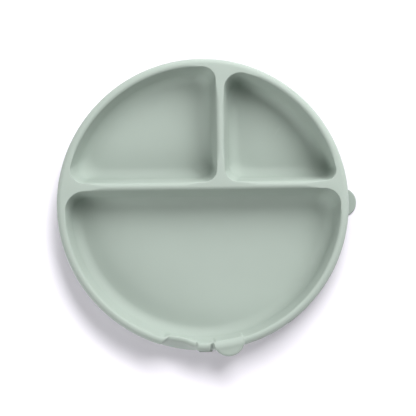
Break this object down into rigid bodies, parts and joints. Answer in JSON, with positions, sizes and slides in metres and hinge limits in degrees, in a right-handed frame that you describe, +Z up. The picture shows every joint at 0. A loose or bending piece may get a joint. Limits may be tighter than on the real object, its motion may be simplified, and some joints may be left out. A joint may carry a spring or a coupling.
{
  "type": "divided suction plate",
  "caption": "Round silicone feeding plate divided into wells, with a pull tab on the rim, a suction base with a flexible lip and a release tab.",
  "frame": {"origin": "centre of the plate at the table plane, where the lip rests", "axes": "+Z up through the plate's axis, +Y from the big well towards the two small wells, +X towards the release tab"},
  "size_m": [0.1975, 0.194, 0.034],
  "materials": {
    "plate_silicone": "matte sage-green moulded silicone",
    "base_silicone": "matte sage-green moulded silicone"
  },
  "bodies": {
    "lip": {"suction_lip": "base_silicone"},
    "plate": {"plate_body": "plate_silicone", "suction_base": "base_silicone"},
    "rim_tab": {"rim_pull_tab": "plate_silicone"},
    "release": {"release_tab": "base_silicone"}
  },
  "joints": [
    {"name": "rim_tab_flex", "type": "hinge", "parent": "plate", "child": "rim_tab", "pos_m": [0.01702, -0.09458, 0.0322], "axis": [-0.9842, -0.1771, 0], "range_deg": [-25, 40], "stiffness_Nm_per_rad": 0.005},
    {"name": "suction_press", "type": "slide", "parent": "lip", "child": "plate", "axis": [0, 0, -1], "range_m": [0, 0.0022], "stiffness_N_per_m": 2500, "springref_m": -0.004, "deforming": ["suction_lip"]},
    {"name": "release_tab_lift", "type": "hinge", "parent": "lip", "child": "release", "pos_m": [0.09199, 0.00112, 0.0009], "axis": [0.0122, -0.9999, 0], "range_deg": [0, 50], "stiffness_Nm_per_rad": 0.003}
  ]
}
